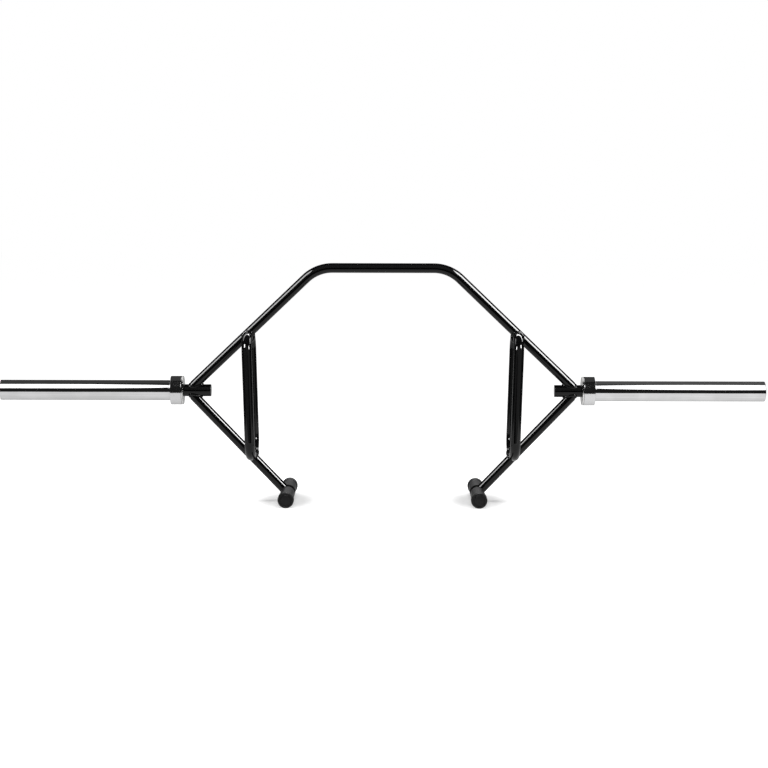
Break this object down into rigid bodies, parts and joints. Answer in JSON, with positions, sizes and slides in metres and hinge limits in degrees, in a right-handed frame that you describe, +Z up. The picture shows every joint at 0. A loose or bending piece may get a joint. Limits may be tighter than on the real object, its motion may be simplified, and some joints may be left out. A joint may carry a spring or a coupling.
{
  "type": "trap bar",
  "caption": "Open-frame trap bar that stands on rubber-capped feet, with raised side grips and turning chromed plate sleeves.",
  "frame": {"origin": "on the floor, below the middle of the top bar", "axes": "+X along the sleeves to the viewer's right, +Y to the rear, +Z up"},
  "size_m": [1.9, 0.23, 0.594],
  "materials": {
    "gloss_black_paint": "gloss black powder coat",
    "hard_chrome": "polished hard chrome",
    "satin_steel": "satin turned steel, bright plated",
    "black_rubber": "moulded matt rubber",
    "sintered_bronze": "oiled sintered bronze",
    "hardened_steel": "ground steel",
    "spring_steel": "phosphated spring steel",
    "black_plastic": "moulded nylon"
  },
  "bodies": {
    "frame": {"main_hoop": "gloss_black_paint", "left_arm": "gloss_black_paint", "left_spindle": "gloss_black_paint", "left_front_grip": "gloss_black_paint", "left_rear_grip": "gloss_black_paint", "left_foot_tube": "gloss_black_paint", "left_front_foot_cap": "black_rubber", "left_rear_foot_cap": "black_rubber", "left_inner_washer": "hardened_steel", "left_outer_washer": "hardened_steel", "left_circlip": "spring_steel", "right_arm": "gloss_black_paint", "right_spindle": "gloss_black_paint", "right_front_grip": "gloss_black_paint", "right_rear_grip": "gloss_black_paint", "right_foot_tube": "gloss_black_paint", "right_front_foot_cap": "black_rubber", "right_rear_foot_cap": "black_rubber", "right_inner_washer": "hardened_steel", "right_outer_washer": "hardened_steel", "right_circlip": "spring_steel"},
    "left_sleeve_assembly": {"left_sleeve": "hard_chrome", "left_collar": "hard_chrome", "left_collar_plate": "satin_steel", "left_inner_bushing": "sintered_bronze", "left_outer_bushing": "sintered_bronze", "left_end_cap": "black_plastic"},
    "right_sleeve_assembly": {"right_sleeve": "hard_chrome", "right_collar": "hard_chrome", "right_collar_plate": "satin_steel", "right_inner_bushing": "sintered_bronze", "right_outer_bushing": "sintered_bronze", "right_end_cap": "black_plastic"}
  },
  "joints": [
    {"name": "left_sleeve_spin", "type": "hinge", "parent": "frame", "child": "left_sleeve_assembly", "pos_m": [-0.7, 0, 0.277], "axis": [1, 0, 0], "continuous": true},
    {"name": "right_sleeve_spin", "type": "hinge", "parent": "frame", "child": "right_sleeve_assembly", "pos_m": [0.7, 0, 0.277], "axis": [1, 0, 0], "continuous": true}
  ]
}
